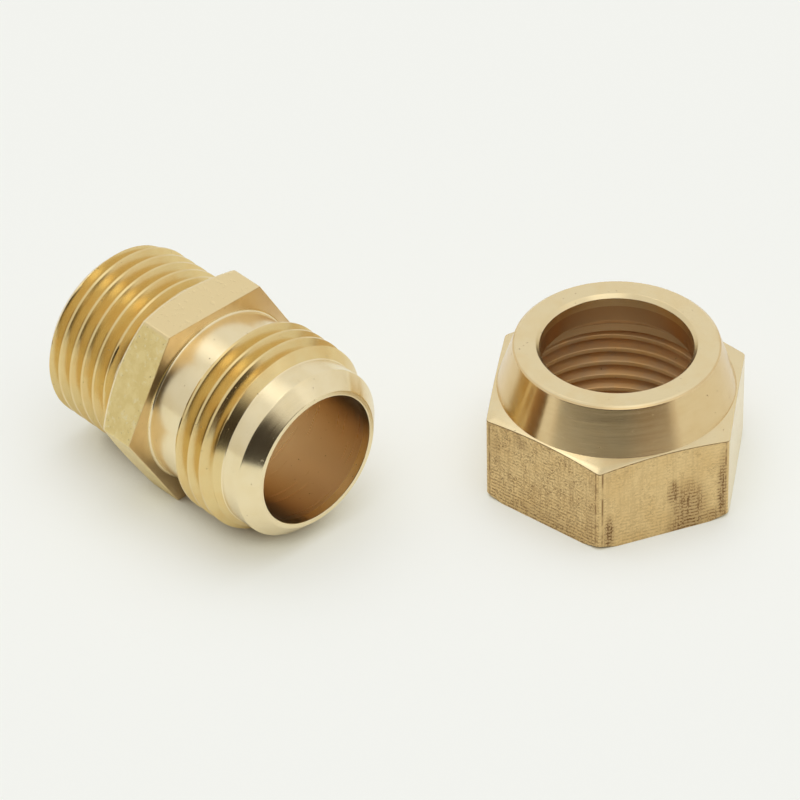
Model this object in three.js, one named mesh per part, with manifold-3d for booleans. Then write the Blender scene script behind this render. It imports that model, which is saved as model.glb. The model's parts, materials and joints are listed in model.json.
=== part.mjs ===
// A 45 degree flare fitting for 5/8 in soft tube, taken apart on a bench. The connector, a
// 7/8-14 flare thread one way and a 1/2-14 pipe thread the other, lies on one flat of its
// hexagon. The flare nut stands on its open end beside the connector's nose.
// Millimetres, +Z up, with the bench at z = 0.

import * as THREE from "three";
import { mergeVertices } from "three/addons/utils/BufferGeometryUtils.js";
import Module from "manifold-3d";

const wasm = await Module();
wasm.setup();

const TURN = 2 * Math.PI;
const degrees = THREE.MathUtils.degToRad;

// ---- Driving dimensions ----

// All three threads are cut 14 to the inch, with flanks 30 degrees off square to the axis.
const PITCH = 25.4 / 14;
const FLANK_SLOPE = Math.tan(degrees(30));
const OUTSIDE_THREAD_DEPTH = 0.6134 * PITCH;
const OUTSIDE_CREST_FLAT = PITCH / 6;
const INSIDE_CREST_FLAT = PITCH / 4;

// Connector, with its axis on local Z. Stations are heights above the pipe end's face.
const CONNECTOR_LENGTH = 32.4;
const CONNECTOR_BORE_RADIUS = 7.55;
const BORE_EDGE_BREAK = 0.3;
const CONNECTOR_HEX_FLATS = 22.1;
const HEX_REAR = 11.5;
const HEX_FRONT = 16.88;
const HEX_CHAMFER_START_RADIUS = 10.8;
const PIPE_THREAD_RADIUS = 10.28;
const PIPE_END_RADIUS = 9.2;
const PIPE_RELIEF_RADIUS = 9.1;
const PIPE_RELIEF_START = 10.65;
const COLLAR_RADIUS = 9.81;
const COLLAR_FILLET = 0.3;
const FLARE_THREAD_RADIUS = 11.04;
const FLARE_THREAD_START = 21.2;
const NOSE_RADIUS = 9.76;
const NOSE_START = 28.35;
const NOSE_RIM_RADIUS = 8.1;

// Nut, with its axis on local Z. Stations are heights above its open end.
const NUT_HEX_FLATS = 26;
const NUT_CORNER_HEIGHT = 10.36;
const NUT_SHOULDER_SLOPE = Math.tan(degrees(15));
const NUT_CONE_FOOT_RADIUS = 12.8;
const NUT_HEIGHT = 16.4;
const NUT_RIM_RADIUS = 11.0;
const NUT_RIM_ROUND = 0.3;
const NUT_CHAMFER_START_RADIUS = 14.06;
const NUT_TUBE_BORE_RADIUS = 8.22;
const NUT_BORE_CHAMFER = 0.42;
const NUT_MINOR_RADIUS = 10.2;
const NUT_MAJOR_RADIUS = 11.2;
const NUT_LEAD_RADIUS = 11.4;
const NUT_SEAT_START = 11.05;
const NUT_THREAD_END = 10.05;

// Where a thread's groove crosses local height 0, as an angle about the piece's axis.
const PIPE_GROOVE_PHASE = degrees(72);
const FLARE_GROOVE_PHASE = degrees(99);
const NUT_GROOVE_PHASE = degrees(208);

// Layout on the bench, seen from above, about the nut's axis.
const CONNECTOR_HEADING = degrees(-47.6);
const NOSE_TIP = new THREE.Vector2(-31.95, -12.1);
const NUT_CORNER_HEADING = degrees(20.6);

// How finely round shapes are faceted, how far a blank or drill overshoots a face, and how far
// a threading tool reaches past the crests.
const SEGMENTS = 36;
const OVERSHOOT = 1;
const CUTTER_CLEARANCE = 0.5;

// Colours of turned brass: the nut's is a little deeper.
const CONNECTOR_COLOR = 0xcdb068;
const NUT_COLOR = 0xc8aa60;

// ---- Solids ----

// A geometry's closed surface as a solid that can be joined and cut.
function solid(geometry) {
  geometry.deleteAttribute("normal");
  geometry.deleteAttribute("uv");
  const merged = mergeVertices(geometry, 1e-5);
  return new wasm.Manifold(
    new wasm.Mesh({
      numProp: 3,
      vertProperties: merged.getAttribute("position").array,
      triVerts: new Uint32Array(merged.index.array),
    }),
  );
}

// A solid as a geometry with flat-shaded faces.
function geometryOf(made) {
  const mesh = made.getMesh();
  const geometry = new THREE.BufferGeometry();
  const positions = new THREE.BufferAttribute(mesh.vertProperties, 3);
  geometry.setAttribute("position", positions);
  geometry.setIndex(new THREE.BufferAttribute(mesh.triVerts, 1));
  const faceted = geometry.toNonIndexed();
  faceted.computeVertexNormals();
  return faceted;
}

// A solid of revolution about Z. The outline is [radius, height] points up from the axis's low
// end to its high end, both on the axis.
function turned(outline) {
  const points = outline.map(([radius, height]) => new THREE.Vector2(radius, height));
  return solid(new THREE.LatheGeometry(points, SEGMENTS).rotateX(Math.PI / 2));
}

// A hexagonal bar between two heights, its first corner at the given angle.
function hexBar(flats, low, high, firstCorner) {
  const cornerRadius = flats / Math.sqrt(3);
  const corners = [];
  for (let k = 0; k < 6; k += 1) {
    const angle = firstCorner + (k * TURN) / 6;
    corners.push(new THREE.Vector2(cornerRadius, 0).rotateAround(new THREE.Vector2(), angle));
  }
  const options = { depth: high - low, bevelEnabled: false };
  return solid(new THREE.ExtrudeGeometry(new THREE.Shape(corners), options).translate(0, 0, low));
}

// A right-handed helix about Z. Its frames keep a swept section upright on the axis.
class ThreadHelix extends THREE.Curve {
  constructor(radius, low, high, phase) {
    super();
    this.radius = radius;
    this.low = low;
    this.high = high;
    this.phase = phase;
  }

  heightAt(t) {
    return THREE.MathUtils.lerp(this.low, this.high, t);
  }

  angleAt(t) {
    return this.phase + (TURN * this.heightAt(t)) / PITCH;
  }

  getPoint(t, target = new THREE.Vector3()) {
    const angle = this.angleAt(t);
    const x = this.radius * Math.cos(angle);
    const y = this.radius * Math.sin(angle);
    return target.set(x, y, this.heightAt(t));
  }

  computeFrenetFrames(segments) {
    const frames = { tangents: [], normals: [], binormals: [] };
    for (let i = 0; i <= segments; i += 1) {
      const angle = this.angleAt(i / segments);
      const normal = new THREE.Vector3(Math.cos(angle), Math.sin(angle), 0);
      const binormal = new THREE.Vector3(0, 0, -1);
      frames.normals.push(normal);
      frames.binormals.push(binormal);
      frames.tangents.push(normal.clone().cross(binormal));
    }
    return frames;
  }
}

// The solid that a threading tool sweeps: a V with a flat tip at tipRadius, opening at the
// flank slope to the thread's crest radius and on past it. mouth is the V's width at the crest.
function threadGroove({ crestRadius, tipRadius, mouth, low, high, phase }) {
  const outOfMetal = Math.sign(crestRadius - tipRadius);
  const halfAt = (radius) => mouth / 2 - Math.abs(crestRadius - radius) * FLANK_SLOPE;
  const tipHalf = halfAt(tipRadius);
  const openRadius = crestRadius + outOfMetal * CUTTER_CLEARANCE;
  const openHalf = mouth / 2 + CUTTER_CLEARANCE * FLANK_SLOPE;
  const section = new THREE.Shape([
    new THREE.Vector2(0, -tipHalf),
    new THREE.Vector2(0, tipHalf),
    new THREE.Vector2(openRadius - tipRadius, openHalf),
    new THREE.Vector2(openRadius - tipRadius, -openHalf),
  ]);
  const helix = new ThreadHelix(tipRadius, low, high, phase);
  const steps = Math.round((SEGMENTS * (high - low)) / PITCH);
  return solid(new THREE.ExtrudeGeometry(section, { steps, extrudePath: helix }));
}

// ---- Connector ----

// The outside as a lathe leaves it, before the threads are cut.
function connectorBlank() {
  const hexMiddle = (HEX_REAR + HEX_FRONT) / 2;
  const pipeChamfer = PIPE_THREAD_RADIUS - PIPE_END_RADIUS;
  const reliefStep = PIPE_THREAD_RADIUS - PIPE_RELIEF_RADIUS;
  const threadStep = FLARE_THREAD_RADIUS - COLLAR_RADIUS;
  const leadChamfer = FLARE_THREAD_RADIUS - NOSE_RADIUS;
  const coneLength = NOSE_RADIUS - NOSE_RIM_RADIUS;
  return turned([
    [0, 0],
    [PIPE_END_RADIUS, 0],
    [PIPE_THREAD_RADIUS, pipeChamfer],
    [PIPE_THREAD_RADIUS, PIPE_RELIEF_START - reliefStep * FLANK_SLOPE],
    [PIPE_RELIEF_RADIUS, PIPE_RELIEF_START],
    [PIPE_RELIEF_RADIUS, hexMiddle],
    [COLLAR_RADIUS + COLLAR_FILLET, hexMiddle],
    [COLLAR_RADIUS + COLLAR_FILLET, HEX_FRONT],
    [COLLAR_RADIUS, HEX_FRONT + COLLAR_FILLET],
    [COLLAR_RADIUS, FLARE_THREAD_START],
    [FLARE_THREAD_RADIUS, FLARE_THREAD_START + threadStep * FLANK_SLOPE],
    [FLARE_THREAD_RADIUS, NOSE_START - leadChamfer],
    [NOSE_RADIUS, NOSE_START],
    [NOSE_RADIUS, CONNECTOR_LENGTH - coneLength],
    [NOSE_RIM_RADIUS, CONNECTOR_LENGTH],
    [0, CONNECTOR_LENGTH],
  ]);
}

// The wrench hexagon, its corners chamfered at 30 degrees on the pipe side.
function connectorHexagon() {
  const cornerRadius = CONNECTOR_HEX_FLATS / Math.sqrt(3);
  const wide = cornerRadius + OVERSHOOT;
  const chamferTop = HEX_REAR + (wide - HEX_CHAMFER_START_RADIUS) * FLANK_SLOPE;
  const chamfered = turned([
    [0, HEX_REAR],
    [HEX_CHAMFER_START_RADIUS, HEX_REAR],
    [wide, chamferTop],
    [wide, HEX_FRONT + OVERSHOOT],
    [0, HEX_FRONT + OVERSHOOT],
  ]);
  const flatUnderneath = degrees(30);
  const bar = hexBar(CONNECTOR_HEX_FLATS, HEX_REAR - OVERSHOOT, HEX_FRONT, flatUnderneath);
  return bar.intersect(chamfered);
}

// The through bore, with the edge at the pipe end broken.
function connectorBore() {
  const broken = CONNECTOR_BORE_RADIUS + BORE_EDGE_BREAK;
  return turned([
    [0, -OVERSHOOT],
    [broken, -OVERSHOOT],
    [broken, 0],
    [CONNECTOR_BORE_RADIUS, BORE_EDGE_BREAK],
    [CONNECTOR_BORE_RADIUS, CONNECTOR_LENGTH + OVERSHOOT],
    [0, CONNECTOR_LENGTH + OVERSHOOT],
  ]);
}

function pipeThreadGroove() {
  return threadGroove({
    crestRadius: PIPE_THREAD_RADIUS,
    tipRadius: PIPE_THREAD_RADIUS - OUTSIDE_THREAD_DEPTH,
    mouth: PITCH - OUTSIDE_CREST_FLAT,
    low: -PITCH,
    high: PIPE_RELIEF_START - PITCH / 4,
    phase: PIPE_GROOVE_PHASE,
  });
}

function flareThreadGroove() {
  return threadGroove({
    crestRadius: FLARE_THREAD_RADIUS,
    tipRadius: FLARE_THREAD_RADIUS - OUTSIDE_THREAD_DEPTH,
    mouth: PITCH - OUTSIDE_CREST_FLAT,
    low: FLARE_THREAD_START - PITCH / 2,
    high: NOSE_START + PITCH,
    phase: FLARE_GROOVE_PHASE,
  });
}

function connectorSolid() {
  return connectorBlank()
    .add(connectorHexagon())
    .subtract(connectorBore())
    .subtract(pipeThreadGroove())
    .subtract(flareThreadGroove());
}

// ---- Nut ----

// A steep cone standing on a hexagon. The hexagon's corners are chamfered at 30 degrees
// underneath, and its top is a 15 degree shoulder, so each flat ends in an arc.
function nutBlank() {
  const cornerRadius = NUT_HEX_FLATS / Math.sqrt(3);
  const wide = cornerRadius + OVERSHOOT;
  const shoulderHeight = (radius) =>
    NUT_CORNER_HEIGHT + (cornerRadius - radius) * NUT_SHOULDER_SLOPE;
  const coneFoot = shoulderHeight(NUT_CONE_FOOT_RADIUS);
  const coneSlope = (NUT_CONE_FOOT_RADIUS - NUT_RIM_RADIUS) / (NUT_HEIGHT - coneFoot);
  const outside = turned([
    [0, 0],
    [NUT_CHAMFER_START_RADIUS, 0],
    [wide, (wide - NUT_CHAMFER_START_RADIUS) * FLANK_SLOPE],
    [wide, shoulderHeight(wide)],
    [NUT_CONE_FOOT_RADIUS, coneFoot],
    [NUT_RIM_RADIUS + NUT_RIM_ROUND * coneSlope, NUT_HEIGHT - NUT_RIM_ROUND],
    [NUT_RIM_RADIUS - NUT_RIM_ROUND, NUT_HEIGHT],
    [0, NUT_HEIGHT],
  ]);
  return hexBar(NUT_HEX_FLATS, -OVERSHOOT, NUT_HEIGHT + OVERSHOOT, 0).intersect(outside);
}

// The stepped bore: a lead-in, the thread's minor diameter, the 45 degree seat that pinches the
// tube's flare, and the bore that the tube runs through.
function nutBore() {
  const seatLength = NUT_MINOR_RADIUS - NUT_TUBE_BORE_RADIUS;
  return turned([
    [0, -OVERSHOOT],
    [NUT_LEAD_RADIUS + OVERSHOOT, -OVERSHOOT],
    [NUT_MINOR_RADIUS, NUT_LEAD_RADIUS - NUT_MINOR_RADIUS],
    [NUT_MINOR_RADIUS, NUT_SEAT_START],
    [NUT_TUBE_BORE_RADIUS, NUT_SEAT_START + seatLength],
    [NUT_TUBE_BORE_RADIUS, NUT_HEIGHT - NUT_BORE_CHAMFER],
    [NUT_TUBE_BORE_RADIUS + NUT_BORE_CHAMFER + OVERSHOOT, NUT_HEIGHT + OVERSHOOT],
    [0, NUT_HEIGHT + OVERSHOOT],
  ]);
}

// The nut's thread stops square, just short of the seat.
function nutThreadGroove() {
  const groove = threadGroove({
    crestRadius: NUT_MINOR_RADIUS,
    tipRadius: NUT_MAJOR_RADIUS,
    mouth: PITCH - INSIDE_CREST_FLAT,
    low: -PITCH,
    high: NUT_THREAD_END + PITCH,
    phase: NUT_GROOVE_PHASE,
  });
  return groove.trimByPlane([0, 0, -1], -NUT_THREAD_END);
}

function nutSolid() {
  return nutBlank().subtract(nutBore()).subtract(nutThreadGroove());
}

// ---- Materials and layout ----

function brass(color) {
  return new THREE.MeshStandardMaterial({ color, roughness: 0.32, metalness: 1 });
}

function connectorMesh() {
  const mesh = new THREE.Mesh(geometryOf(connectorSolid()), brass(CONNECTOR_COLOR));
  mesh.name = "connector_body";
  const up = new THREE.Vector3(0, 0, 1);
  const heading = new THREE.Vector3(Math.cos(CONNECTOR_HEADING), Math.sin(CONNECTOR_HEADING), 0);
  const side = heading.clone().cross(up);
  mesh.quaternion.setFromRotationMatrix(new THREE.Matrix4().makeBasis(up, side, heading));
  mesh.position.set(NOSE_TIP.x, NOSE_TIP.y, CONNECTOR_HEX_FLATS / 2);
  mesh.position.addScaledVector(heading, -CONNECTOR_LENGTH);
  return mesh;
}

function nutMesh() {
  const mesh = new THREE.Mesh(geometryOf(nutSolid()), brass(NUT_COLOR));
  mesh.name = "flare_nut";
  mesh.rotation.z = NUT_CORNER_HEADING;
  return mesh;
}

// Both pieces, shifted so that the origin is under the middle of the pair.
function flareFitting() {
  const fitting = new THREE.Group();
  fitting.name = "flare_fitting";
  fitting.add(connectorMesh(), nutMesh());
  const middle = new THREE.Box3().setFromObject(fitting, true).getCenter(new THREE.Vector3());
  fitting.position.set(-middle.x, -middle.y, 0);
  return fitting;
}

export default flareFitting();
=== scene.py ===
"""Looks of a two-piece brass flare fitting: a connector lying on its hexagon, a nut beside it.

Each piece is one closed surface, swept round the piece's own axis. Its outline is a list of
strips, and the three threads are strips whose rings follow the helix. Shapes are in millimetres
in the piece's own frame, with its axis on Z, and are placed in the row frame by the record's
mounts and joint.
"""

import json
import math

import bmesh
import bpy
import numpy as np
from mathutils import Matrix, Vector

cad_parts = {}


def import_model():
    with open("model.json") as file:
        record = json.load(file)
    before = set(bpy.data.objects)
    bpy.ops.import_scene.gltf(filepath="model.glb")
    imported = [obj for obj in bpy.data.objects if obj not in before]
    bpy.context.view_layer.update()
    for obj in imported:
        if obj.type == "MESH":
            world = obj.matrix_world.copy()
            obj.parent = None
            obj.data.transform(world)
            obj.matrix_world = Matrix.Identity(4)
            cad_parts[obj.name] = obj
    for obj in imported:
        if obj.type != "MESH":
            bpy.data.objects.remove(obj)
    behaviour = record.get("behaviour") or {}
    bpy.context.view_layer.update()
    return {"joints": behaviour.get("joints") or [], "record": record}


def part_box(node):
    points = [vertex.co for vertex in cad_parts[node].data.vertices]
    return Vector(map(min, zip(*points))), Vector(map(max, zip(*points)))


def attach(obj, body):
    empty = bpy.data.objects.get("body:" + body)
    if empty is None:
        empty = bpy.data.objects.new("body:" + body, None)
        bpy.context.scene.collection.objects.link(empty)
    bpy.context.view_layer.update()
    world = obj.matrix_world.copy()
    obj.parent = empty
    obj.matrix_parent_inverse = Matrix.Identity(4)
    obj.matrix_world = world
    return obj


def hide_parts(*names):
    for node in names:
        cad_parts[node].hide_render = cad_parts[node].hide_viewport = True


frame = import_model()

MM = 0.001
TURN = 2 * math.pi
SIDES = 6
# The turn from one corner of a hexagon to the next.
SIDE = TURN / SIDES

# ---- Shape, in millimetres ----

PITCH = 25.4 / 14
FLANK = math.tan(math.radians(30))
OUTSIDE_DEPTH = 0.6134 * PITCH
OUTSIDE_CREST = PITCH / 6
INSIDE_CREST = PITCH / 4
INSIDE_CREST_ROUND = 0.035

# Connector: heights above the pipe end's face.
LENGTH = 32.4
BORE = 7.55
BORE_BREAK = 0.3
HEX_FLATS = 22.1
HEX_REAR = 11.5
HEX_FRONT = 16.88
HEX_CHAMFER_START = 10.8
HEX_FIRST_CORNER = SIDE / 2
PIPE_THREAD = 10.28
PIPE_END = 9.15
PIPE_RELIEF = 9.1
PIPE_RELIEF_START = 10.65
COLLAR = 9.81
COLLAR_FILLET = 0.3
FILLET_STEPS = 5
FLARE_THREAD = 11.04
FLARE_START = 21.2
NOSE = 9.76
NOSE_START = 28.35
NOSE_RIM = 8.1

# Nut: heights above its open end.
NUT_FLATS = 26
NUT_CORNER = NUT_FLATS / math.sqrt(3)
NUT_CORNER_TOP = 10.36
NUT_SHOULDER = math.tan(math.radians(15))
NUT_CONE_FOOT = 12.8
NUT_HEIGHT = 16.4
NUT_RIM = 11.0
NUT_RIM_BREAK = 0.28
NUT_CHAMFER_START = 14.06
NUT_TUBE_BORE = 8.22
NUT_BORE_CHAMFER = 0.42
NUT_MINOR = 10.2
NUT_MAJOR = 11.2
NUT_LEAD = 11.4
NUT_SEAT_START = 11.05
NUT_THREAD_END = 10.05

# Where each groove crosses height 0, as an angle about the piece's axis.
PIPE_PHASE = math.radians(72)
FLARE_PHASE = math.radians(99)
NUT_PHASE = math.radians(208)

# How far each thread's strip stops short of the corner beside it.
PIPE_MARGIN = 0.01
NOSE_MARGIN = 0.08
NUT_MARGIN = 0.02

# How far inside its mouth a bore takes on its own look.
MOUTH = 1

CONNECTOR_CORNER_ROUND = 0.25
NUT_CORNER_ROUND = 0.6

# Edges are rounded over EDGE_ROUND. A hexagon's edge passes EDGE_CUT of that inside the sharp
# corner.
EDGE_ROUND = 0.07
EDGE_STEPS = 3
EDGE_CUT = 0.3
# Shares of EDGE_ROUND for three lighter edges: out and up past the connector's rear face, down
# at the nut's shoulder, and out and up at the end of the nut's thread.
REAR_FACE_EDGE = (0.8, 0.4)
SHOULDER_CUT = 0.2
THREAD_LIP = (0.5, 0.2)
# No edge's rounding takes more than this share of the stretch beside it.
ROUNDING_ROOM = 0.45

# The worn edge behind the connector's hexagon, from chamfer to flat, as shares of REAR_EDGE_RUB:
# (inwards from the flat, forwards from the chamfer's end).
REAR_EDGE_RUB = 0.3
REAR_EDGE_CURVE = [(0.6, -0.1), (0.42, 0.1), (0.2, 0.45), (0.05, 0.85), (0, 1.2)]
REAR_EDGE_END = 1.5

# A groove's root: (share of its half width, height above its full depth), then the rounding
# that leads into the flank, and where the flank's rings lie along it.
ROOT_RINGS = [(0, 0.02), (0.6, 0.025)]
ROOT_ROUND = 0.1
ROOT_SPREAD = 0.3
FLANK_RINGS = (0.22, 0.4, 0.58, 0.76, 0.9)
# The second ring of a rounded crest, as shares of its rounding: (past the flank, below the top).
CREST_RING = (0.7, 0.1)

# Columns of points round each piece: so many evenly, and more at these degrees from a corner.
EVEN_COLUMNS = 240
CORNER_COLUMNS = (-1.1, -0.8, -0.6, -0.4, -0.2, 0, 0.2, 0.4, 0.6, 0.8, 1.1)
# Rings that hold a long stretch's shading: so near its ends, and at most so far apart.
SUPPORT = 0.1
RING_GAP = 1.0
# Points that agree to this many decimals of a millimetre are one.
MERGE_DECIMALS = 5
# Shading breaks at edges sharper than this.
CREASE = math.radians(32)

# Which material a strip shows: an index into each piece's material slots.
TURNED, FLATS, THREAD, BORED, FACED = range(5)


# ---- Placement from the frame ----


def mount(name):
    """A mount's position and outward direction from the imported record."""
    found = next(m for m in frame["record"]["mounts"] if m["name"] == name)
    return Vector(found["pos_m"]), Vector(found["axis"]).normalized()


def nut_axis():
    """A point on the axis that the nut turns about."""
    return Vector(next(j for j in frame["joints"] if j["name"] == "nut_turn")["pos_m"])


def connector_place():
    """The connector's axis on local Z, from its pipe end, and local X pointing up."""
    end, outward = mount("pipe_end_face")
    low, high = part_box("connector_body")
    along = -outward
    up = Vector((0, 0, 1))
    side = along.cross(up)
    origin = Vector((end.x, end.y, (low.z + high.z) / 2))
    return Matrix.Translation(origin) @ Matrix((up, side, along)).transposed().to_4x4()


def nut_place():
    """The nut's axis on local Z, from its open end, and local X through a hexagon corner."""
    axis = nut_axis()
    base, _ = mount("nut_base_face")
    heading = math.atan2(base.y - axis.y, base.x - axis.x)
    origin = Vector((axis.x, axis.y, base.z))
    return Matrix.Translation(origin) @ Matrix.Rotation(heading, 4, "Z")


# ---- Swept surfaces ----


def columns(first_corner):
    """Angles round the axis: evenly spaced, and closer together at the hexagon's corners."""
    angles = set(np.round(np.arange(EVEN_COLUMNS) * 360 / EVEN_COLUMNS, 4))
    for corner in range(SIDES):
        middle = math.degrees(first_corner) + 360 / SIDES * corner
        for offset in CORNER_COLUMNS:
            angles.add(round((middle + offset) % 360, 4))
    return np.radians(sorted(angles))


def hexagon(theta, flats, first_corner, corner_round):
    """A hexagon's radius at each angle, its corners rounded."""
    half = flats / 2
    from_corner = (theta - first_corner + SIDE / 2) % SIDE - SIDE / 2
    flat = half / np.cos(SIDE / 2 - np.abs(from_corner))
    centre = (half - corner_round) / math.cos(SIDE / 2)
    reach = np.maximum(corner_round**2 - (centre * np.sin(from_corner)) ** 2, 0)
    rounded = centre * np.cos(from_corner) + np.sqrt(reach)
    tangent = SIDE / 2 - math.atan((half - corner_round) * math.tan(SIDE / 2) / half)
    return np.where(np.abs(from_corner) < tangent, rounded, flat)


def softened(points):
    """An outline of (radius, height) points with each inner corner rounded."""
    points = [np.array(p, float) for p in points]
    result = [points[0]]
    for before, corner, after in zip(points, points[1:], points[2:]):
        back, ahead = np.linalg.norm(before - corner), np.linalg.norm(after - corner)
        into, out = (before - corner) / back, (after - corner) / ahead
        opening = math.acos(np.clip(into @ out, -1, 1))
        tangent = min(EDGE_ROUND / math.tan(opening / 2), min(back, ahead) * ROUNDING_ROOM)
        start, end = corner + into * tangent, corner + out * tangent
        for step in range(EDGE_STEPS + 1):
            t = step / EDGE_STEPS
            result.append((1 - t) ** 2 * start + 2 * t * (1 - t) * corner + t**2 * end)
    result.append(points[-1])
    return result


def supported(points):
    """The outline with extra points on its long stretches, to hold their shading flat."""
    result = [points[0]]
    for a, b in zip(points, points[1:]):
        length = np.linalg.norm(b - a)
        if length > 4 * SUPPORT:
            near, rings = SUPPORT / length, 2 + int(length / RING_GAP)
            result.extend(a + (b - a) * t for t in np.linspace(near, 1 - near, rings))
        result.append(b)
    return result


def plain(points, zone):
    """A strip of round rings along an outline."""
    outline = supported(softened(points))
    return {"r": [p[0] for p in outline], "z": [p[1] for p in outline], "zone": zone}


def shaped(rings, zone):
    """A strip of rings whose radius and height vary round the axis, as (radii, heights)."""
    return {"r": [r for r, _ in rings], "z": [z for _, z in rings], "zone": zone}


def groove_profile(crest, tip, crest_flat, crest_round=0.0):
    """One pitch of a thread, as (place in the pitch, radius) from root centre to root centre."""
    depth = abs(crest - tip)
    sign = math.copysign(1, tip - crest)
    mouth_half = (PITCH - crest_flat) / 2
    tip_half = mouth_half - depth * FLANK
    half = [(tip_half * share, depth - rise) for share, rise in ROOT_RINGS]
    half.append((tip_half + ROOT_ROUND * ROOT_SPREAD, depth - ROOT_ROUND))
    half += [(tip_half + depth * FLANK * share, depth * (1 - share)) for share in FLANK_RINGS]
    if crest_round:
        past, below = CREST_RING
        half.append((mouth_half - crest_round * FLANK, crest_round))
        half.append((mouth_half + crest_round * past, crest_round * below))
    else:
        half.append((mouth_half, 0.0))
    half.append((PITCH / 2, 0.0))
    rising = [(x, crest + sign * d) for x, d in half]
    falling = [(PITCH - x, r) for x, r in reversed(rising[1:-1])]
    return np.array(rising + falling)


def thread(theta, low, high, phase, profile, limit, pick, flip=False):
    """A strip whose rings follow the helix between two heights. limit gives the blank's radius
    at a height, and pick is np.minimum outside or np.maximum inside."""
    zero = -PITCH * phase / TURN
    first = math.floor((low - PITCH - zero) / PITCH)
    last = math.ceil((high - zero) / PITCH)
    base = np.concatenate([zero + PITCH * n + profile[:, 0] for n in range(first, last + 1)])
    climb = PITCH * theta / TURN
    z = np.clip(base[:, None] + climb[None, :], low, high)
    place = (z - climb[None, :] - zero) % PITCH
    wrapped = np.vstack([profile, [PITCH, profile[0, 1]]])
    r = pick(np.interp(place, wrapped[:, 0], wrapped[:, 1]), limit(z))
    return {"r": list(r), "z": list(z), "zone": THREAD, "seam": len(profile), "flip": flip}


def strip_points(strip, theta):
    """A strip's points in the piece's own frame, ring after ring."""
    cosine, sine = np.cos(theta), np.sin(theta)
    rings = []
    for r, z in zip(strip["r"], strip["z"]):
        radius, height = np.broadcast_to(r, theta.shape), np.broadcast_to(z, theta.shape)
        rings.append(np.column_stack([radius * cosine, radius * sine, height]))
    return np.vstack(rings)


def strip_quads(strip, start, count):
    """The quads between a strip's rings, whose points are numbered from start. In one turn a
    thread's ring climbs to meet the ring that is seam rings further on."""
    rows = len(strip["r"])
    index = start + np.arange(rows)[:, None] * count + np.arange(count)[None, :]
    meets = np.minimum(np.arange(rows) + strip.get("seam", 0), rows - 1)
    index = np.hstack([index, index[meets][:, :1]])
    quads = np.stack([index[:-1, :-1], index[:-1, 1:], index[1:, 1:], index[1:, :-1]], axis=-1)
    quads = quads.reshape(-1, 4)
    return quads[:, ::-1] if strip.get("flip") else quads


def surface(name, theta, strips, place, materials):
    """Joins strips end to end into one closed mesh in the row frame and drops what collapses.
    Each point keeps two vectors for the materials: its place in the piece's own frame, in
    millimetres, and its direction round the axis."""
    parts, quads, zones = [], [], []
    for strip in strips:
        start = sum(len(part) for part in parts)
        parts.append(strip_points(strip, theta))
        quads.append(strip_quads(strip, start, len(theta)))
        zones += [strip["zone"]] * len(quads[-1])
    points = np.vstack(parts)
    _, keep, merged = np.unique(
        np.round(points, MERGE_DECIMALS), axis=0, return_index=True, return_inverse=True
    )
    polygons, polygon_zones = [], []
    for quad, zone in zip(merged.ravel()[np.vstack(quads)].tolist(), zones):
        loop = [v for i, v in enumerate(quad) if v != quad[i - 1]]
        if len(loop) >= 3 and len(set(loop)) == len(loop):
            polygons.append(loop)
            polygon_zones.append(zone)

    own = points[keep]
    turn = np.array(place.to_3x3())
    placed = own @ turn.T * MM + np.array(place.translation)
    around = np.column_stack([-own[:, 1], own[:, 0], np.zeros(len(own))]) @ turn.T
    around /= np.linalg.norm(around, axis=1)[:, None]
    mesh = bpy.data.meshes.new(name)
    mesh.from_pydata(placed.tolist(), [], polygons)
    for attribute, vectors in (("own_mm", own), ("around", around)):
        data = mesh.attributes.new(attribute, "FLOAT_VECTOR", "POINT").data
        data.foreach_set("vector", vectors.ravel())
    for material in materials:
        mesh.materials.append(material)
    mesh.polygons.foreach_set("material_index", polygon_zones)
    mesh.update()
    soften_shading(mesh)
    return shown(name, mesh)


def soften_shading(mesh):
    """Smooth shading, broken at the creases."""
    work = bmesh.new()
    work.from_mesh(mesh)
    for face in work.faces:
        face.smooth = True
    for edge in work.edges:
        edge.smooth = len(edge.link_faces) == 2 and edge.calc_face_angle(0) < CREASE
    work.to_mesh(mesh)
    work.free()


def shown(name, data):
    """A new object in the scene."""
    made = bpy.data.objects.new(name, data)
    bpy.context.scene.collection.objects.link(made)
    return made


# ---- Connector ----


def pipe_limit(z):
    """The pipe thread's blank: its chamfered end, its outside and its run down to the relief."""
    rising = PIPE_END + z
    falling = PIPE_RELIEF + (PIPE_RELIEF_START - z) / FLANK
    return np.minimum(np.minimum(rising, PIPE_THREAD), falling)


def flare_limit(z):
    """The flare thread's blank: its run up from the collar, its outside and its lead chamfer."""
    rising = COLLAR + (z - FLARE_START) / FLANK
    falling = NOSE + (NOSE_START - z)
    return np.minimum(np.minimum(rising, FLARE_THREAD), falling)


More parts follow.
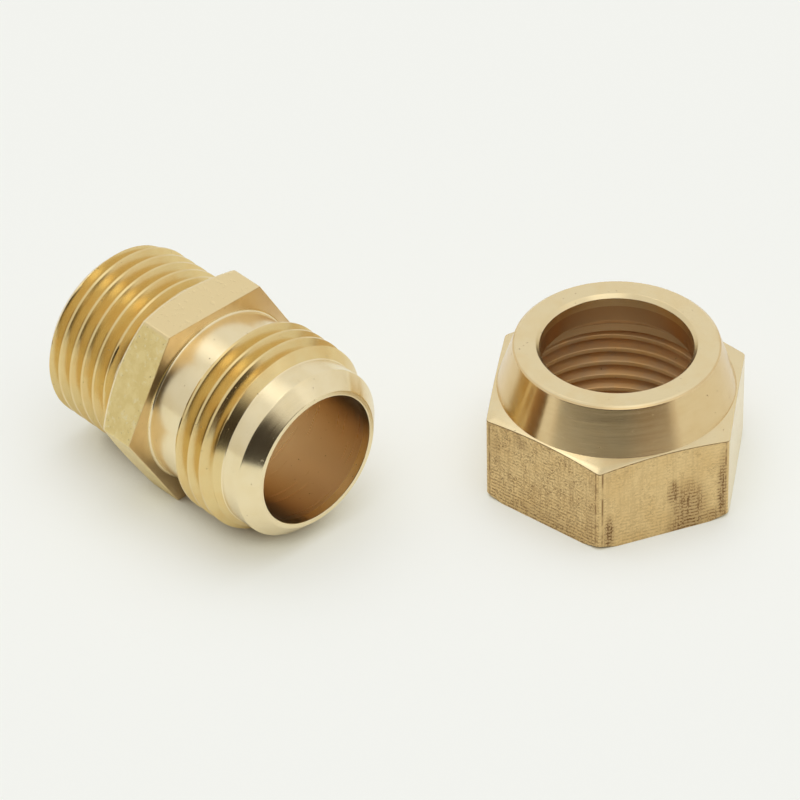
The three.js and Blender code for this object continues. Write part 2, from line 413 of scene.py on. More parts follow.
def connector_hexagon(theta):
    """The rear face, its chamfer and worn edge, the six flats, and the front face."""
    edge = hexagon(theta, HEX_FLATS, HEX_FIRST_CORNER, CONNECTOR_CORNER_ROUND)
    scallop = HEX_REAR + (edge - HEX_CHAMFER_START) * FLANK
    soft, rub = EDGE_ROUND, REAR_EDGE_RUB
    worn = [(edge - rub * inwards, scallop + rub * ahead) for inwards, ahead in REAR_EDGE_CURVE]
    out, up = REAR_FACE_EDGE
    behind = [
        (PIPE_RELIEF, HEX_REAR),
        (HEX_CHAMFER_START - soft, HEX_REAR),
        (HEX_CHAMFER_START + soft * out, HEX_REAR + soft * up),
        *worn,
    ]
    front_edge = (edge - soft * EDGE_CUT, HEX_FRONT - soft * EDGE_CUT)
    flats = [
        worn[-1],
        (edge, scallop + rub * REAR_EDGE_END),
        (edge, (scallop + HEX_FRONT) / 2),
        (edge, HEX_FRONT - 2 * soft),
        (edge, HEX_FRONT - soft),
        front_edge,
    ]
    fillet = COLLAR + COLLAR_FILLET
    front = [
        front_edge,
        (edge - soft, HEX_FRONT),
        (edge - 2 * soft, HEX_FRONT),
        ((edge + fillet) / 2, HEX_FRONT),
        (fillet + soft, HEX_FRONT),
        (fillet, HEX_FRONT),
    ]
    return [shaped(behind, TURNED), shaped(flats, FLATS), shaped(front, FACED)]


def collar_fillet():
    """The quarter round between the hexagon's front face and the collar."""
    rings = []
    for step in range(FILLET_STEPS + 1):
        angle = math.radians(270 - 90 / FILLET_STEPS * step)
        radius = COLLAR + COLLAR_FILLET + COLLAR_FILLET * math.cos(angle)
        height = HEX_FRONT + COLLAR_FILLET + COLLAR_FILLET * math.sin(angle)
        rings.append((radius, height))
    return shaped(rings, TURNED)


def connector_piece(place, materials):
    """The connector, along its outside from pipe end to nose, then back down its bore."""
    theta = columns(HEX_FIRST_CORNER)
    pipe_profile = groove_profile(PIPE_THREAD, PIPE_THREAD - OUTSIDE_DEPTH, OUTSIDE_CREST)
    flare_profile = groove_profile(FLARE_THREAD, FLARE_THREAD - OUTSIDE_DEPTH, OUTSIDE_CREST)
    pipe_span = (PIPE_MARGIN, PIPE_RELIEF_START - PIPE_MARGIN)
    flare_span = (FLARE_START, NOSE_START - NOSE_MARGIN)
    pipe_mouth = (BORE + BORE_BREAK, 0)
    pipe_end = [pipe_mouth, (PIPE_END, 0), (PIPE_END + PIPE_MARGIN, PIPE_MARGIN)]
    relief = [
        (pipe_limit(pipe_span[1]), pipe_span[1]),
        (PIPE_RELIEF, PIPE_RELIEF_START),
        (PIPE_RELIEF, HEX_REAR),
    ]
    collar = [(COLLAR, HEX_FRONT + COLLAR_FILLET), (COLLAR, FLARE_START)]
    nose = [
        (flare_limit(flare_span[1]), flare_span[1]),
        (NOSE, NOSE_START),
        (NOSE, LENGTH - (NOSE - NOSE_RIM)),
        (NOSE_RIM, LENGTH),
        (BORE, LENGTH),
        (BORE, LENGTH - MOUTH),
    ]
    strips = [
        plain(pipe_end, TURNED),
        thread(theta, *pipe_span, PIPE_PHASE, pipe_profile, pipe_limit, np.minimum),
        plain(relief, TURNED),
        *connector_hexagon(theta),
        collar_fillet(),
        plain(collar, TURNED),
        thread(theta, *flare_span, FLARE_PHASE, flare_profile, flare_limit, np.minimum),
        plain(nose, TURNED),
        plain([nose[-1], (BORE, BORE_BREAK), pipe_mouth], BORED),
    ]
    return surface("connector_body_brass", theta, strips, place, materials)


# ---- Nut ----


def nut_limit(z):
    """The nut's bore before it is threaded: its lead chamfer, then its minor radius."""
    return np.maximum(NUT_LEAD - z, NUT_MINOR)


def shoulder_height(radius):
    """How high the nut's sloping shoulder is at a radius."""
    return NUT_CORNER_TOP + (NUT_CORNER - radius) * NUT_SHOULDER


def nut_hexagon(theta):
    """The open end's face, its corner chamfers, the six flats and the sloping shoulder."""
    edge = hexagon(theta, NUT_FLATS, 0, NUT_CORNER_ROUND)
    chamfer = np.maximum(edge - NUT_CHAMFER_START, 0) * FLANK
    top = shoulder_height(edge)
    foot = shoulder_height(NUT_CONE_FOOT)
    soft = EDGE_ROUND
    face = np.minimum(edge, NUT_CHAMFER_START)
    lower_edge = (edge - soft * EDGE_CUT, chamfer + soft * EDGE_CUT)
    upper_edge = (edge - soft * EDGE_CUT, top - soft * SHOULDER_CUT)
    base = [
        (NUT_LEAD, 0),
        (NUT_LEAD + soft, 0),
        ((NUT_LEAD + face) / 2, 0),
        (face - 2 * soft, 0),
        (face - soft, 0),
        lower_edge,
    ]
    flats = [
        lower_edge,
        (edge, chamfer + soft),
        (edge, chamfer + 2 * soft),
        (edge, chamfer * 0.7 + top * 0.3),
        (edge, chamfer * 0.3 + top * 0.7),
        (edge, top - 2 * soft),
        (edge, top - soft),
        upper_edge,
    ]
    shoulder = [
        upper_edge,
        (edge - soft, top + soft * NUT_SHOULDER),
        ((edge + NUT_CONE_FOOT) / 2, (top + foot) / 2),
        (NUT_CONE_FOOT, foot),
    ]
    return [shaped(base, FACED), shaped(flats, FLATS), shaped(shoulder, FACED)]


def nut_piece(place, materials):
    """The nut, along its outside from open end to rim, then back down its bore."""
    theta = columns(0)
    profile = groove_profile(NUT_MINOR, NUT_MAJOR, INSIDE_CREST, INSIDE_CREST_ROUND)
    span = (NUT_MARGIN, NUT_THREAD_END)
    inner = thread(theta, *span, NUT_PHASE, profile, nut_limit, np.maximum, flip=True)
    foot = shoulder_height(NUT_CONE_FOOT)
    slope = (NUT_CONE_FOOT - NUT_RIM) / (NUT_HEIGHT - foot)
    break_foot = NUT_RIM + NUT_RIM_BREAK * slope, NUT_HEIGHT - NUT_RIM_BREAK
    break_middle = (
        (break_foot[0] + NUT_RIM - NUT_RIM_BREAK) / 2,
        NUT_HEIGHT - NUT_RIM_BREAK / 2,
    )
    bore_top = NUT_HEIGHT - NUT_BORE_CHAMFER
    rim = [
        break_middle,
        (NUT_RIM - NUT_RIM_BREAK, NUT_HEIGHT),
        (NUT_TUBE_BORE + NUT_BORE_CHAMFER, NUT_HEIGHT),
        (NUT_TUBE_BORE, bore_top),
        (NUT_TUBE_BORE, bore_top - MOUTH),
    ]
    seat = [
        rim[-1],
        (NUT_TUBE_BORE, NUT_SEAT_START + NUT_MINOR - NUT_TUBE_BORE),
        (NUT_MINOR, NUT_SEAT_START),
        (NUT_MINOR, NUT_THREAD_END + 2 * EDGE_ROUND),
    ]
    last = inner["r"][-1]
    out, up = THREAD_LIP
    thread_end = [
        seat[-1],
        (NUT_MINOR, NUT_THREAD_END + EDGE_ROUND),
        (np.minimum(last, NUT_MINOR + EDGE_ROUND * out), NUT_THREAD_END + EDGE_ROUND * up),
        (last, NUT_THREAD_END),
    ]
    strips = [
        *nut_hexagon(theta),
        plain([(NUT_CONE_FOOT, foot), break_foot, break_middle], TURNED),
        plain(rim, FACED),
        plain(seat, BORED),
        shaped(thread_end, BORED),
        inner,
        plain([(nut_limit(NUT_MARGIN), NUT_MARGIN), (NUT_LEAD, 0)], BORED),
    ]
    return surface("flare_nut_brass", theta, strips, place, materials)


# ---- Node graphs ----


class Graph:
    """A node tree, with short calls to add nodes."""

    def __init__(self, tree):
        self.tree = tree

    def add(self, kind, inputs=None, output=0, **settings):
        node = self.tree.nodes.new(kind)
        for key, value in settings.items():
            setattr(node, key, value)
        for key, value in (inputs or {}).items():
            self.feed(node.inputs[key], value)
        return node.outputs[output]

    def feed(self, socket, value):
        if isinstance(value, bpy.types.NodeSocket):
            self.tree.links.new(value, socket)
        else:
            socket.default_value = value

    def math(self, operation, a, b=0.0):
        return self.add("ShaderNodeMath", {0: a, 1: b}, operation=operation)

    def times(self, a, b):
        return self.math("MULTIPLY", a, b)

    def minus(self, a, b):
        return self.math("SUBTRACT", a, b)

    def larger(self, a, b):
        return self.math("MAXIMUM", a, b)

    def line(self, value, slope, offset):
        """value times slope, plus offset."""
        return self.add("ShaderNodeMath", {0: value, 1: slope, 2: offset}, operation="MULTIPLY_ADD")

    def same(self, a, b):
        """1 where two whole numbers are equal, and 0 elsewhere."""
        return self.add("ShaderNodeMath", {0: a, 1: b, 2: 0.5}, operation="COMPARE")

    def vector(self, x, y, z):
        return self.add("ShaderNodeCombineXYZ", {0: x, 1: y, 2: z})

    def split(self, vector):
        """A vector's x, y and z."""
        node = self.tree.nodes.new("ShaderNodeSeparateXYZ")
        self.feed(node.inputs[0], vector)
        return node.outputs

    def noise(self, vector, scale, detail=2.0, roughness=0.5):
        inputs = {"Vector": vector, "Scale": scale, "Detail": detail, "Roughness": roughness}
        return self.add("ShaderNodeTexNoise", inputs)

    def spots(self, vector, kind):
        """Noise cut to spots. kind is its scale and detail, then the noise where a spot starts,
        and where it is full."""
        scale, detail, low, high = kind
        return self.ramp(self.noise(vector, scale, detail), low, high)

    def ramp(self, value, low, high, start=0.0, end=1.0, **settings):
        """start where value is below low, end where it is above high, and a slope between."""
        inputs = {"Value": value, 1: low, 2: high, 3: start, 4: end}
        return self.add("ShaderNodeMapRange", inputs, clamp=True, **settings)

    def blend(self, share, a, b):
        inputs = {0: share, 6: a, 7: b}
        return self.add("ShaderNodeMix", inputs, output=2, data_type="RGBA")

    def bump(self, height, distance, normal=None):
        inputs = {"Height": height, "Distance": distance, "Strength": 1.0}
        if normal is not None:
            inputs["Normal"] = normal
        return self.add("ShaderNodeBump", inputs)


class MaterialGraph(Graph):
    """A new material's node tree, round its Principled shader."""

    def __init__(self, name):
        self.material = bpy.data.materials.new(name)
        self.material.use_nodes = True
        super().__init__(self.material.node_tree)
        self.shader = next(n for n in self.tree.nodes if n.type == "BSDF_PRINCIPLED")

    def set(self, key, value):
        self.feed(self.shader.inputs[key], value)

    def place(self):
        """The piece's own coordinates in millimetres: (vector, x, y, z, distance from axis)."""
        position = self.add("ShaderNodeAttribute", output=1, attribute_name="own_mm")
        x, y, z = self.split(position)
        flat = self.vector(x, y, 0.0)
        radius = self.add("ShaderNodeVectorMath", {0: flat}, output=1, operation="LENGTH")
        return position, x, y, z, radius


# ---- Lathe-turned brass ----

# Tones of brass, as (clean, stained).
BRIGHT = (0.88, 0.75, 0.48, 1), (0.86, 0.72, 0.44, 1)
FACE = (0.84, 0.66, 0.40, 1), (0.77, 0.59, 0.34, 1)
OUTER_THREAD = (0.79, 0.62, 0.30, 1), (0.78, 0.58, 0.26, 1)
CONNECTOR_BORE = (0.795, 0.618, 0.40, 1), (0.795, 0.618, 0.40, 1)
RIM = (0.82, 0.68, 0.41, 1), (0.81, 0.65, 0.37, 1)
CONE = (0.75, 0.57, 0.31, 1), (0.73, 0.54, 0.28, 1)
INNER_THREAD = (0.72, 0.44, 0.19, 1), (0.63, 0.42, 0.22, 1)
NUT_BORE = (0.63, 0.42, 0.22, 1), (0.63, 0.42, 0.22, 1)

STAINS = (0.45, 4.0, 0.42, 0.68)
PITS = (3.2, 1.0, 0.755, 0.79)
PIT = (0.25, 0.17, 0.08, 1)
PIT_DARKNESS = 0.6
PIT_ROUGHNESS = 0.2
PIT_DEPTH = 0.012 * MM
QUARTER_TURN = 0.25
# Most of a noise lies between these.
NOISE_SPAN = (0.3, 0.7)


def turning_lines(graph, x, y, z, radius, per_mm, wander):
    """Noise that is drawn out round the axis, as a lathe tool leaves it."""
    across = graph.line(radius, per_mm, graph.times(x, wander))
    along = graph.line(z, per_mm, graph.times(y, wander))
    return graph.noise(graph.vector(across, along, 0.0), 1.0, detail=3.0, roughness=0.6)


def brushed(graph, roughness, amount):
    """Blurs reflections across the turning lines more than along them."""
    around = graph.add("ShaderNodeAttribute", output=1, attribute_name="around")
    in_world = graph.add(
        "ShaderNodeVectorTransform",
        {0: around},
        vector_type="VECTOR",
        convert_from="OBJECT",
        convert_to="WORLD",
    )
    graph.set("Tangent", in_world)
    graph.set("Anisotropic", amount)
    graph.set("Anisotropic Rotation", QUARTER_TURN)
    graph.set("Roughness", roughness)


def turned_brass(name, tones, roughness, line_depth, uneven=0.12, grain=0.8):
    """Lathe-turned brass: fine lines round the axis, faint stains, small pits and a soft sheen.
    line_depth is in millimetres."""
    clean, stained = tones
    graph = MaterialGraph(name)
    position, x, y, z, radius = graph.place()
    fine = turning_lines(graph, x, y, z, radius, per_mm=9.0, wander=0.25)
    coarse = turning_lines(graph, x, y, z, radius, per_mm=2.2, wander=0.12)
    pits = graph.spots(position, PITS)
    tint = graph.blend(graph.spots(position, STAINS), clean, stained)
    graph.set("Metallic", 1.0)
    graph.set("Base Color", graph.blend(graph.times(pits, PIT_DARKNESS), tint, PIT))
    smooth, rough = roughness * (1 - uneven), roughness * (1 + uneven)
    worn = graph.ramp(coarse, *NOISE_SPAN, smooth, rough)
    brushed(graph, graph.line(pits, PIT_ROUGHNESS, worn), grain)
    lines = graph.bump(fine, line_depth * MM)
    graph.set("Normal", graph.bump(graph.minus(1.0, pits), PIT_DEPTH, lines))
    return graph.material


# ---- The connector's flats ----

SATIN_TOP = (0.83, 0.67, 0.37, 1)
SATIN_SIDE = (0.78, 0.62, 0.27, 1)
SATIN_PATCH = (0.84, 0.69, 0.33, 1)
SCUFF = (0.86, 0.75, 0.45, 1)
SCUFF_STRENGTH = 0.6
MOTTLE = (0.7, 4.0, 0.65)
MOTTLE_EDGE = (0.42, 0.58)
DENTS = (1.7, 3.0, 0.58, 0.70)
SATIN_PITS = (3.1, 1.0, 0.71, 0.75)
# Local X where the upper flat's look starts, and where it is complete.
UPPER_FLAT = (10.6, 10.95)
# The share of the pits that it lacks.
FEWER_PITS = 0.9
SATIN_PIT_DARKNESS = 0.5
SATIN_ROUGHNESS = (0.3, 0.4)
SATIN_GRAIN = (7.0, 4.0, 0.7)
SATIN_GRAIN_DEPTH = 0.006 * MM
# How deep dents and pits are, as a share of DENT_DEPTH.
HOLLOW = 0.6
DENT_DEPTH = 0.05 * MM


def satin_flats(name):
    """The connector's flats: a smooth satin skin, mottled, with shallow dents."""
    graph = MaterialGraph(name)
    position, x, _, _, _ = graph.place()
    facing_up = graph.ramp(x, *UPPER_FLAT)
    mottle = graph.noise(position, *MOTTLE)
    dents = graph.spots(position, DENTS)
    pits = graph.times(graph.spots(position, SATIN_PITS), graph.line(facing_up, -FEWER_PITS, 1.0))
    side = graph.blend(graph.ramp(mottle, *MOTTLE_EDGE), SATIN_SIDE, SATIN_PATCH)
    side = graph.blend(graph.times(dents, SCUFF_STRENGTH), side, SCUFF)
    tint = graph.blend(facing_up, side, SATIN_TOP)
    graph.set("Metallic", 1.0)
    graph.set("Base Color", graph.blend(graph.times(pits, SATIN_PIT_DARKNESS), tint, PIT))
    graph.set("Roughness", graph.ramp(mottle, *NOISE_SPAN, *SATIN_ROUGHNESS))
    grain = graph.bump(graph.noise(position, *SATIN_GRAIN), SATIN_GRAIN_DEPTH)
    height = graph.line(dents, -HOLLOW, graph.times(pits, -HOLLOW))
    graph.set("Normal", graph.bump(height, DENT_DEPTH, grain))
    return graph.material


# ---- The nut's flats ----

# They are numbered round the axis, and these three face the camera.
LEFT_FLAT, RIGHT_FLAT, FAR_RIGHT_FLAT = -3, -2, -1

SKIN = (0.77, 0.57, 0.28, 1)
SKIN_PATCH = (0.73, 0.52, 0.24, 1)
OXIDE = (0.23, 0.12, 0.05, 1)
# The far right flat is wiped clean and pale. Oxide covers this much of it, and of the others.
WIPED = (0.88, 0.78, 0.56, 1)
WIPED_COVER = 0.25
COVER = 0.85
SKIN_ROUGHNESS = (0.32, 0.6)
SKIN_GRAIN = (5.0, 5.0, 4.0, 0.7)
SKIN_GRAIN_DEPTH = 0.012 * MM
MARK_DEPTH = 0.02 * MM
# Sets each flat's noise apart from the next one's.
SEED_STEP = 7.3

# Marks cut from noise: (its detail to the millimetre along the flat, and up it, then the noise
# where a mark starts, and where it is full).
RIB_GAPS = (4.4, 1.6, 0.40, 0.54)
DIE_LINES = (4.0, 0.14, 0.52, 0.60)
LINE_GAPS = (4.8, 4.0, 0.38, 0.54)
DASHES = (3.4, 5.6, 0.50, 0.60)
SPECKS = (4.6, 4.6, 0.60, 0.66)
PATCHES = (0.35, 0.3, 0.42, 0.68)
BLOTCHES = (1.1, 0.8, 0.42, 0.60)
CORNER_GAPS = (1.0, 0.8, 0.38, 0.55)

# Rows of ribs, wavering, in lanes along the flat that each have their own shift. A rib starts
# and is full at these values of its wave.
RIB_SPACING = 0.44
RIB_EDGE = (-0.2, 0.7)
WAVERS_PER_MM = 0.4
WAVER = 0.8
LANES_PER_MM = 1.1
LANE_OFFSET = 0.37
LANE_STEP = 3.7
LANE_SHIFT = 9.0
# The heights between which the ribs fade, and how strong they are below and above.
RIB_FADE = (0.5, 6.5, 0.95, 0.38)
# How strong the other fine marks are, and how much stronger where blotches lie.
DASH_STRENGTH = 0.27
SPECK_STRENGTH = 0.45
BLOTCH_GAIN = 0.55
DIE_LINE_STRENGTH = 0.5
# How much of the fine marks is left on every flat but the left one.
RUBBED = 0.46

# Where oxide is thick: (flat, along it, height, half width, half height, strength).
OXIDE_SPOTS = [
    (RIGHT_FLAT, 2.9, 2.4, 2.2, 4.2, 0.85),
    (RIGHT_FLAT, 1.1, 5.2, 0.8, 1.8, 0.9),
    (RIGHT_FLAT, 2.8, 0.6, 2.4, 1.3, 1.0),
    (RIGHT_FLAT, 6.7, 4.0, 0.6, 5.0, 0.95),
    (RIGHT_FLAT, 5.6, 0.8, 1.4, 1.2, 0.8),
    (RIGHT_FLAT, -6.3, 1.9, 0.6, 2.6, 1.0),
    (LEFT_FLAT, 6.4, 3.4, 0.5, 3.6, 0.6),
    (LEFT_FLAT, 3.9, 5.6, 0.4, 3.4, 0.55),
    (LEFT_FLAT, -2.6, 9.4, 1.0, 0.8, 0.6),
    (LEFT_FLAT, 1.0, 0.6, 5.0, 1.6, 0.5),
    (LEFT_FLAT, -6.3, 7.4, 0.8, 1.4, 0.5),
]
# It is this strong between the ribs and die lines, and stronger by the gain on them.
OXIDE_BASE = 0.4
OXIDE_GAIN = 0.8
# A spot starts to fade, and ends, at these squares of the distance from its middle.
SPOT_EDGE = (0.2, 1.6)

# Dark lines: beside each corner, by distance from the flat's middle, and along the top edge, by
# distance below it.
CORNER_LINE_INNER = (6.9, 7.05)
CORNER_LINE_OUTER = (7.12, 7.25)
CORNER_LINE_STRENGTH = (0.3, 0.9)
TOP_LINE = (-0.12, -0.02)
TOP_LINE_STRENGTH = 0.9
JAGS_PER_MM = 3.0
JAG = 0.35


class BarSkin(MaterialGraph):
    """The nut's flats: the drawn bar's own skin, with die lines along it, rows of fine ribs
    across it and oxide held in both."""

    def __init__(self, name):
        super().__init__(name)
        _, x, y, self.z, self.radius = self.place()
        angle = self.math("ARCTAN2", y, x)
        self.which = self.math("FLOOR", self.math("DIVIDE", angle, SIDE))
        middle = self.times(self.math("ADD", self.which, 0.5), SIDE)
        slope = self.math("TANGENT", self.minus(angle, middle))
        self.along = self.times(slope, NUT_FLATS / 2)
        self.seed = self.times(self.which, SEED_STEP)
        self.ribs = self.rib_rows()
        self.die_lines = self.marks(DIE_LINES)
        self.line_gaps = self.marks(LINE_GAPS)

        on_skin = self.larger(self.fine_marks(), self.thick_oxide())
        dark = self.larger(on_skin, self.larger(self.corner_lines(), self.top_line()))
        wiped = self.same(self.which, FAR_RIGHT_FLAT)
        tint = self.blend(wiped, self.blend(self.marks(PATCHES), SKIN, SKIN_PATCH), WIPED)
        covered = self.times(dark, self.line(wiped, WIPED_COVER - COVER, COVER))
        self.set("Metallic", 1.0)
        self.set("Base Color", self.blend(covered, tint, OXIDE))
        self.set("Roughness", self.ramp(dark, 0.0, 1.0, *SKIN_ROUGHNESS))
        grain = self.bump(self.stretched(*SKIN_GRAIN), SKIN_GRAIN_DEPTH)
        self.set("Normal", self.bump(self.minus(1.0, dark), MARK_DEPTH, grain))

    def stretched(self, per_along, per_height, detail=3.0, roughness=0.6):
        """Noise on the flat, scaled apart along it and up it, and different on each flat."""
        along, up = self.times(self.along, per_along), self.times(self.z, per_height)
        return self.noise(self.vector(along, up, self.seed), 1.0, detail, roughness)

    def marks(self, kind, strengths=(0.0, 1.0), detail=3.0):
        """Stretched noise cut to marks, with their strengths off and on a mark."""
        per_along, per_height, low, high = kind
        return self.ramp(self.stretched(per_along, per_height, detail), low, high, *strengths)

    def rib_rows(self):
        offset = self.times(self.seed, LANE_OFFSET)
        lane = self.math("FLOOR", self.line(self.along, LANES_PER_MM, offset))
        by_lane = self.noise(self.vector(self.times(lane, LANE_STEP), self.seed, 0.0), 1.0)
        wavering = self.stretched(WAVERS_PER_MM, WAVERS_PER_MM)
        shift = self.line(wavering, WAVER, self.times(by_lane, LANE_SHIFT))
        wave = self.math("SINE", self.line(self.z, TURN / RIB_SPACING, shift))
        return self.ramp(wave, *RIB_EDGE)

    def fine_marks(self):
        """Ribs, dashes, specks and faint die lines all over the flats."""
        fade = self.ramp(self.z, *RIB_FADE)
        ribs = self.times(self.times(self.ribs, self.marks(RIB_GAPS)), fade)
        blotches = self.marks(BLOTCHES)
        dash_strength = self.line(blotches, BLOTCH_GAIN, DASH_STRENGTH)
        speck_strength = self.line(blotches, BLOTCH_GAIN, SPECK_STRENGTH)
        dashes = self.times(self.marks(DASHES), dash_strength)
        specks = self.times(self.marks(SPECKS, detail=2.0), speck_strength)
        lines = self.times(self.times(self.die_lines, self.line_gaps), DIE_LINE_STRENGTH)
        fine = self.larger(self.larger(ribs, dashes), self.larger(specks, lines))
        return self.times(fine, self.ramp(self.which, LEFT_FLAT, RIGHT_FLAT, 1.0, RUBBED))

    def thick_oxide(self):
        """The spots, cut up by the weave of ribs and die lines."""
        held = 0.0
        for spot in OXIDE_SPOTS:
            held = self.larger(held, self.oval(*spot))
        weave = self.times(self.larger(self.die_lines, self.ribs), self.line_gaps)
        return self.times(held, self.line(weave, OXIDE_GAIN, OXIDE_BASE))

    def oval(self, flat, at, height, half_width, half_height, strength):
        """A soft-edged oval on one flat."""
        a = self.math("DIVIDE", self.minus(self.along, at), half_width)
        b = self.math("DIVIDE", self.minus(self.z, height), half_height)
        square = self.math("ADD", self.times(a, a), self.times(b, b))
        falling = self.ramp(square, *SPOT_EDGE, strength, 0.0)
        return self.times(falling, self.same(self.which, flat))

    def corner_lines(self):
        """A dark line beside each corner, where the bar's rounded edge begins."""
        sideways = self.math("ABSOLUTE", self.along)
        inner = self.ramp(sideways, *CORNER_LINE_INNER)
        outer = self.ramp(sideways, *CORNER_LINE_OUTER, 1.0, 0.0)
        uneven = self.marks(CORNER_GAPS, CORNER_LINE_STRENGTH)
        return self.times(self.times(inner, outer), uneven)

    def top_line(self):
        """A jagged dark line under the shoulder, where its cut meets the bar's skin."""
        shoulder = self.line(self.radius, -NUT_SHOULDER, shoulder_height(0))
        jagged = self.line(self.stretched(JAGS_PER_MM, 0.0), -JAG, self.minus(shoulder, self.z))
        return self.ramp(jagged, *TOP_LINE, TOP_LINE_STRENGTH, 0.0)


def connector_materials():
    """The connector's materials in the order of the strips' zone numbers."""
    return [
        turned_brass("connector_turned", BRIGHT, 0.2, 0.0016),
        satin_flats("connector_flats"),
        turned_brass("connector_thread", OUTER_THREAD, 0.23, 0.0006, uneven=0.05, grain=0.5),
        turned_brass("connector_bore", CONNECTOR_BORE, 0.28, 0.0001, uneven=0.03, grain=0.6),
        turned_brass("connector_faced", FACE, 0.3, 0.001, grain=0.3),
    ]


def nut_materials():
    """The nut's materials in the order of the strips' zone numbers."""
    return [
        turned_brass("nut_turned", CONE, 0.2, 0.0018, uneven=0.18),
        BarSkin("nut_flats").material,
        turned_brass("nut_thread", INNER_THREAD, 0.38, 0.0006, uneven=0.05, grain=0.5),
        turned_brass("nut_bore", NUT_BORE, 0.24, 0.0006),
        turned_brass("nut_faced", RIM, 0.24, 0.0015, grain=0.5),
    ]


# ---- Stage, light and camera ----

FLOOR_HALF = 3.0
PAPER = (0.91, 0.918, 0.876)
PAPER_ROUGHNESS = 0.9
PAPER_SPECULAR = 0.1
# The share of the paper's white that is painted light, an emission glow and no lamp, by colour, and
# its gain.
PAPER_PAINTED_GLOW = (0.43, 0.40, 0.31)
PAINTED_GLOW_GAIN = 0.975
# Right beside what it carries, the paper takes this painted shadow colour and loses its painted
# glow. How open it is above, up to this reach, says where each returns: it starts at the first
# value and is full at the second.
PAPER_PAINTED_SHADOW = (0.47, 0.40, 0.29, 1)
CONTACT_REACH = 20 * MM
CONTACT_SAMPLES = 16
PAINTED_SHADOW_RETURNS = (0.1, 0.36)
PAINTED_GLOW_RETURNS = (0.14, 0.37)

# The card in front: its azimuths and elevations in degrees, and its distance.
CARD_SPAN = (-148, -30)
CARD_RISE = (0, 42)
CARD_DISTANCE = 0.14
CARD_STEPS = 48
CARD_DARK = (0.045, 0.038, 0.032, 1)
CARD_PALE = (0.80, 0.74, 0.66, 1)
# It pales over so many degrees at each end, and between these elevations at its top.
CARD_END_FADE = 9
CARD_TOP_FADE = (34.5, 42)
# It is warm low down on its right: it warms between these azimuths, and stops between these
# heights.
CARD_WARM = (0.24, 0.13, 0.045, 1)
WARM_AZIMUTHS = (math.radians(-78), math.radians(-58))
WARM_HEIGHTS = (0.005, 0.023)

# The floor's light: all round, and overhead, where a power narrows it.
ALL_ROUND = 0.1
OVERHEAD = 3.08
OVERHEAD_POWER = 5.0
# The brass's light: dimmer and tinted at the horizon, even above this height.
HORIZON_TOP = 0.3
HORIZON_STRENGTH = 0.80
TENT_STRENGTH = 0.87
HORIZON_TINT = (1.0, 0.96, 0.86, 1)
WHITE = (1, 1, 1, 1)
# Soft changes in what the brass reflects: (azimuth, elevation, full within, gone beyond, amount).
GLOWS = [
    (128, 60, 10, 19, 0.27),
    (132, 69, 5, 12, 0.8),
    (-75, 56, 12, 24, 0.36),
    (80, 74, 5, 16, -0.14),
    (-35, 46, 10, 32, 0.14),
    (-178, 10, 14, 38, -0.11),
]

# Metres from the nut's axis to where the camera aims.
CAMERA_AIM = Vector((-0.023119, 0.011586, 0))
CAMERA_DISTANCE = 0.6309
CAMERA_ELEVATION = math.radians(38.52)
CAMERA_ROLL = math.radians(-1.18)
CAMERA_LENS = 259.5
CAMERA_SENSOR = 36
CAMERA_REACH = 20


def direction(azimuth, elevation):
    """A unit vector: azimuth 0 along +X, 90 along +Y, in degrees."""
    a, e = math.radians(azimuth), math.radians(elevation)
    return Vector((math.cos(e) * math.cos(a), math.cos(e) * math.sin(a), math.sin(e)))


def sheet(name, points, faces, material):
    """A thin sheet, shown in the scene."""
    mesh = bpy.data.meshes.new(name)
    mesh.from_pydata(points, [], faces)
    mesh.materials.append(material)
    piece = shown(name, mesh)
    return piece


def floor():
    """White paper lit from above, with painted light: an emission glow that keeps its shadows pale,
    and a painted brown shadow right beside what it carries, both set by ambient occlusion."""
    graph = MaterialGraph("floor_paper_painted_light")
    reach = {"Distance": CONTACT_REACH}
    open_above = graph.add("ShaderNodeAmbientOcclusion", reach, output=1, samples=CONTACT_SAMPLES)
    from_above = [c * (1 - share) for c, share in zip(PAPER, PAPER_PAINTED_GLOW)]
    painted_glow_color = [c * share * PAINTED_GLOW_GAIN for c, share in zip(PAPER, PAPER_PAINTED_GLOW)]
    # Painted shadow: the base colour turns brown where ambient occlusion finds the paper closed
    # above.
    white = graph.ramp(open_above, *PAINTED_SHADOW_RETURNS)
    graph.set("Base Color", graph.blend(white, PAPER_PAINTED_SHADOW, (*from_above, 1)))
    graph.set("Roughness", PAPER_ROUGHNESS)
    graph.set("Specular IOR Level", PAPER_SPECULAR)
    # Painted light: the paper glows by emission, except where ambient occlusion finds it closed
    # above.
    graph.set("Emission Color", (*painted_glow_color, 1))
    graph.set("Emission Strength", graph.ramp(open_above, *PAINTED_GLOW_RETURNS))
    graph.material.cycles.emission_sampling = "NONE"
    half = FLOOR_HALF
    corners = [(-half, -half, 0), (half, -half, 0), (half, half, 0), (-half, half, 0)]
    sheet("floor", corners, [(0, 1, 2, 3)], graph.material)


def card_height(elevation):
    """How high on the card an elevation in degrees falls, seen from the floor's middle."""
    return CARD_DISTANCE * math.tan(math.radians(elevation))


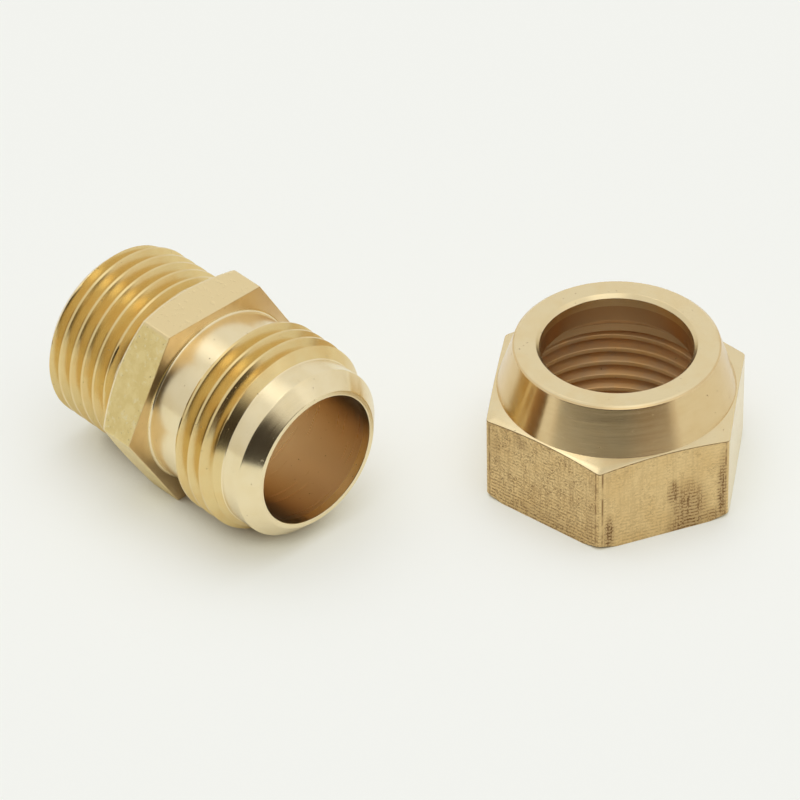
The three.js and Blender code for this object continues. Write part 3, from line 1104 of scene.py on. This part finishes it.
def card_glow():
    """Dark, paler towards the card's ends and its top, and warm low down on its right."""
    graph = MaterialGraph("front_card_glow")
    x, y, height = graph.split(graph.add("ShaderNodeNewGeometry"))
    azimuth = graph.math("ARCTAN2", y, x)
    first, last = (math.radians(a) for a in CARD_SPAN)
    inward = math.radians(CARD_END_FADE)
    at_first = graph.ramp(azimuth, first, first + inward, 1.0, 0.0)
    at_last = graph.ramp(azimuth, last - inward, last)
    at_top = graph.ramp(height, *(card_height(e) for e in CARD_TOP_FADE))
    paling = graph.larger(graph.larger(at_first, at_last), at_top)
    on_right = graph.ramp(azimuth, *WARM_AZIMUTHS)
    low_right = graph.times(on_right, graph.ramp(height, *WARM_HEIGHTS, 1.0, 0.0))
    tone = graph.blend(paling, graph.blend(low_right, CARD_DARK, CARD_WARM), CARD_PALE)
    graph.set("Base Color", (0, 0, 0, 1))
    graph.set("Specular IOR Level", 0.0)
    graph.set("Emission Color", tone)
    graph.set("Emission Strength", 1.0)
    graph.material.cycles.emission_sampling = "NONE"
    return graph.material


def card():
    """An upright curved card round the front, seen only in reflections."""
    points, faces = [], []
    start, end = CARD_SPAN
    for step in range(CARD_STEPS + 1):
        foot = direction(start + (end - start) * step / CARD_STEPS, 0) * CARD_DISTANCE
        points += [(foot.x, foot.y, card_height(elevation)) for elevation in CARD_RISE]
    for step in range(CARD_STEPS):
        faces.append((2 * step, 2 * step + 1, 2 * step + 3, 2 * step + 2))
    piece = sheet("front_card", points, faces, card_glow())
    for unseen in ("visible_camera", "visible_diffuse", "visible_shadow"):
        setattr(piece, unseen, False)


def world():
    """A white tent. The floor is lit mostly from overhead, so its shadows stay close in. The
    brass sees an even white with soft changes, a little dimmer and warmer near the horizon."""
    sky = bpy.data.worlds.new("studio")
    sky.use_nodes = True
    graph = Graph(sky.node_tree)
    toward = graph.add("ShaderNodeTexCoord")
    height = graph.larger(graph.split(toward)[2], 0.0)
    on_floor = graph.line(graph.math("POWER", height, OVERHEAD_POWER), OVERHEAD, ALL_ROUND)
    on_brass = graph.ramp(height, 0.0, HORIZON_TOP, HORIZON_STRENGTH, TENT_STRENGTH)
    for azimuth, elevation, inner, outer, amount in GLOWS:
        aim = {0: toward, 1: direction(azimuth, elevation)}
        close = graph.add("ShaderNodeVectorMath", aim, output=1, operation="DOT_PRODUCT")
        edges = (math.cos(math.radians(angle)) for angle in (outer, inner))
        glow = graph.ramp(close, *edges, 0.0, amount, interpolation_type="SMOOTHSTEP")
        on_brass = graph.math("ADD", on_brass, glow)
    glossy = graph.add("ShaderNodeLightPath", output=3)
    levels = {0: glossy, 2: on_floor, 3: on_brass}
    warmth = graph.times(graph.ramp(height, 0.0, HORIZON_TOP, 1.0, 0.0), glossy)
    background = graph.tree.nodes["Background"]
    graph.feed(background.inputs["Color"], graph.blend(warmth, WHITE, HORIZON_TINT))
    graph.feed(background.inputs["Strength"], graph.add("ShaderNodeMix", levels, data_type="FLOAT"))
    sky.cycles.sampling_method = "NONE"
    bpy.context.scene.world = sky


def camera():
    """The photograph's view, aimed by the nut's axis."""
    axis = nut_axis()
    back = Vector((0, -math.cos(CAMERA_ELEVATION), math.sin(CAMERA_ELEVATION)))
    right = Vector((1, 0, 0))
    up = back.cross(right)
    tilted = math.cos(CAMERA_ROLL) * right + math.sin(CAMERA_ROLL) * up
    data = bpy.data.cameras.new("camera")
    data.sensor_width = CAMERA_SENSOR
    data.lens = CAMERA_LENS
    data.clip_end = CAMERA_REACH
    place = Matrix((tilted, back.cross(tilted), back)).transposed().to_4x4()
    place.translation = Vector((axis.x, axis.y, 0)) + CAMERA_AIM + back * CAMERA_DISTANCE
    seen_from = shown("camera", data)
    seen_from.matrix_world = place
    bpy.context.scene.camera = seen_from


# ---- Assembly ----


def stand_for(piece, body, node):
    """Shows piece in place of the CAD node, on its body."""
    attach(piece, body)
    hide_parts(node)


connector = connector_piece(connector_place(), connector_materials())
stand_for(connector, "connector", "connector_body")
nut = nut_piece(nut_place(), nut_materials())
stand_for(nut, "nut", "flare_nut")

floor()
card()
world()
camera()
bpy.context.scene.view_settings.view_transform = "Standard"
